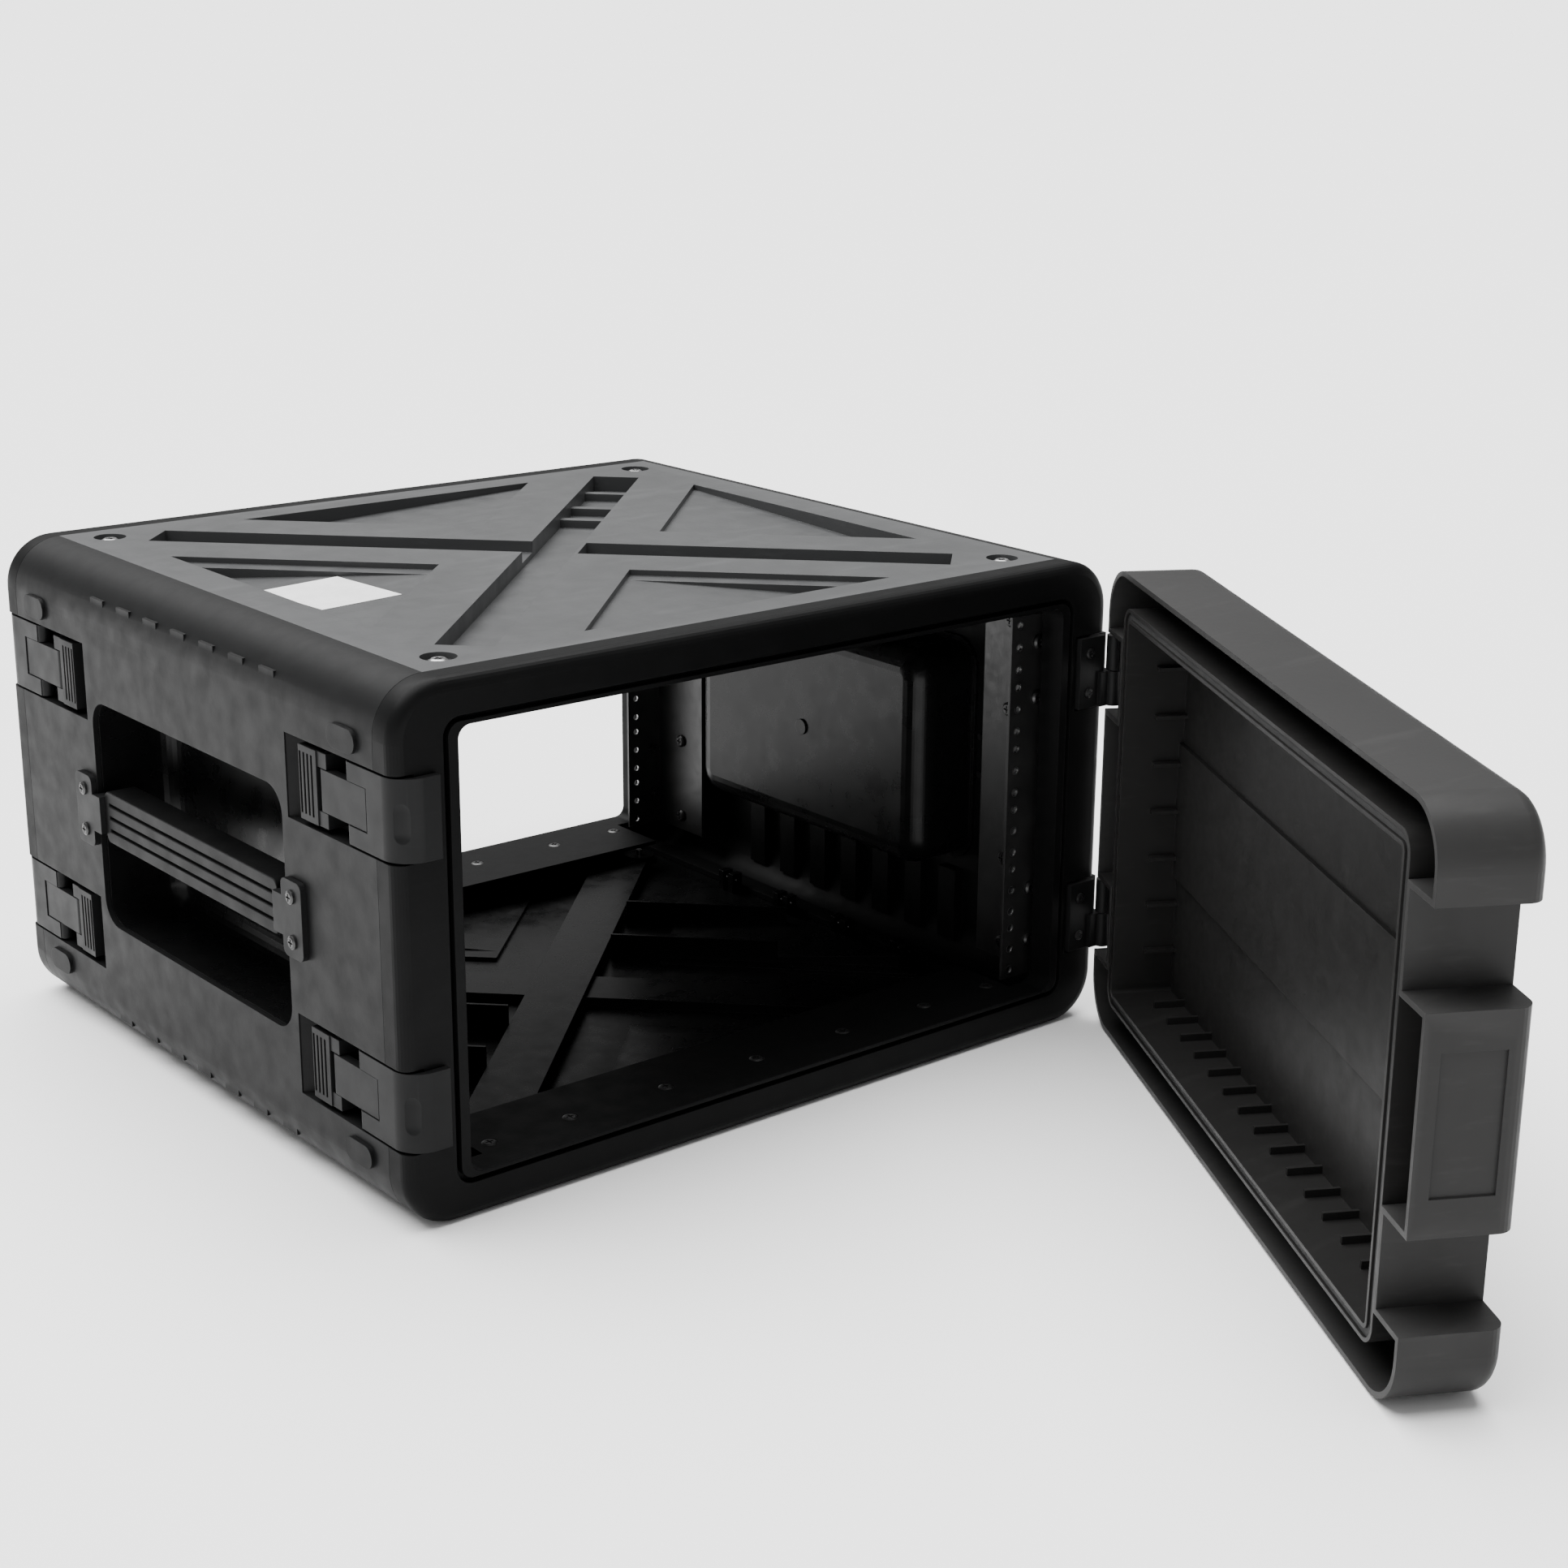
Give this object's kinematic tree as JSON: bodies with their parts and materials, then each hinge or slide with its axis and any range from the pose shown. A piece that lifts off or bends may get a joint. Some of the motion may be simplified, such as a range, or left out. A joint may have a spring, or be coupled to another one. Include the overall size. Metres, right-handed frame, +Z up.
{
  "type": "equipment rack case",
  "caption": "Moulded rack case for audio equipment, with a hinged end door, draw latches, recessed carrying handles and drilled steel rack rails.",
  "frame": {"origin": "centre of the underside, on the flat pad in the middle of the bottom panel", "axes": "+Z up, -Y out of the end with the door, +X towards the side with the door hinges"},
  "size_m": [0.6269, 1.0583, 0.336],
  "materials": {
    "shell": "satin black moulded plastic with a fine grain",
    "panel": "satin black moulded plastic, slightly lighter",
    "frame": "satin black moulded plastic",
    "interior": "smooth dark moulded plastic",
    "latch": "satin black moulded plastic",
    "grip": "soft black grip",
    "rail": "black powder-coated steel",
    "screw": "black oxide steel",
    "pin": "plain steel",
    "label": "blank white sticker",
    "door": "satin black moulded plastic",
    "tray": "smooth black moulded plastic",
    "seal": "black rubber"
  },
  "bodies": {
    "case": {"top_panel": "panel", "bottom_panel": "interior", "left_side_panel": "shell", "right_side_panel": "shell", "front_frame": "frame", "rear_frame": "frame", "front_frame_screws": "screw", "rear_frame_screws": "screw", "corner_screws": "pin", "panel_clips": "interior", "blank_label": "label", "left_handle_tub": "interior", "right_handle_tub": "interior", "left_handle_grip": "grip", "right_handle_grip": "grip", "left_handle_brackets": "latch", "right_handle_brackets": "latch", "handle_screws": "screw", "front_left_rail": "rail", "front_right_rail": "rail", "rear_left_rail": "rail", "rear_right_rail": "rail", "rail_screws": "screw", "latch_bases": "latch", "latch_base_pins": "pin", "hinge_brackets": "latch", "hinge_pins": "pin", "hinge_bracket_screws": "screw"},
    "door": {"door_shell": "door", "door_tray": "tray", "door_seal": "seal", "door_hinge_leaves": "latch", "door_leaf_screws": "screw"},
    "front_upper_link": {"front_upper_link": "latch", "front_upper_lever_pin": "pin"},
    "front_upper_lever": {"front_upper_lever": "latch"},
    "front_lower_link": {"front_lower_link": "latch", "front_lower_lever_pin": "pin"},
    "front_lower_lever": {"front_lower_lever": "latch"},
    "rear_upper_link": {"rear_upper_link": "latch", "rear_upper_lever_pin": "pin"},
    "rear_upper_lever": {"rear_upper_lever": "latch"},
    "rear_lower_link": {"rear_lower_link": "latch", "rear_lower_lever_pin": "pin"},
    "rear_lower_lever": {"rear_lower_lever": "latch"}
  },
  "joints": [
    {"name": "door_hinge", "type": "hinge", "parent": "case", "child": "door", "pos_m": [0.288, -0.264, 0.168], "axis": [0, 0, 1], "range_deg": [-60, 110]},
    {"name": "front_upper_link_hinge", "type": "hinge", "parent": "case", "child": "front_upper_link", "pos_m": [-0.2815, -0.178, 0.2575], "axis": [0, 0, -1], "range_deg": [0, 90]},
    {"name": "front_upper_lever_hinge", "type": "hinge", "parent": "front_upper_link", "child": "front_upper_lever", "pos_m": [-0.2815, -0.208, 0.2575], "axis": [0, 0, -1], "range_deg": [0, 85]},
    {"name": "front_lower_link_hinge", "type": "hinge", "parent": "case", "child": "front_lower_link", "pos_m": [-0.2815, -0.178, 0.0785], "axis": [0, 0, -1], "range_deg": [0, 90]},
    {"name": "front_lower_lever_hinge", "type": "hinge", "parent": "front_lower_link", "child": "front_lower_lever", "pos_m": [-0.2815, -0.208, 0.0785], "axis": [0, 0, -1], "range_deg": [0, 85]},
    {"name": "rear_upper_link_hinge", "type": "hinge", "parent": "case", "child": "rear_upper_link", "pos_m": [-0.2815, 0.178, 0.2575], "axis": [0, 0, 1], "range_deg": [0, 90]},
    {"name": "rear_upper_lever_hinge", "type": "hinge", "parent": "rear_upper_link", "child": "rear_upper_lever", "pos_m": [-0.2815, 0.208, 0.2575], "axis": [0, 0, 1], "range_deg": [0, 85]},
    {"name": "rear_lower_link_hinge", "type": "hinge", "parent": "case", "child": "rear_lower_link", "pos_m": [-0.2815, 0.178, 0.0785], "axis": [0, 0, 1], "range_deg": [0, 90]},
    {"name": "rear_lower_lever_hinge", "type": "hinge", "parent": "rear_lower_link", "child": "rear_lower_lever", "pos_m": [-0.2815, 0.208, 0.0785], "axis": [0, 0, 1], "range_deg": [0, 85]}
  ]
}
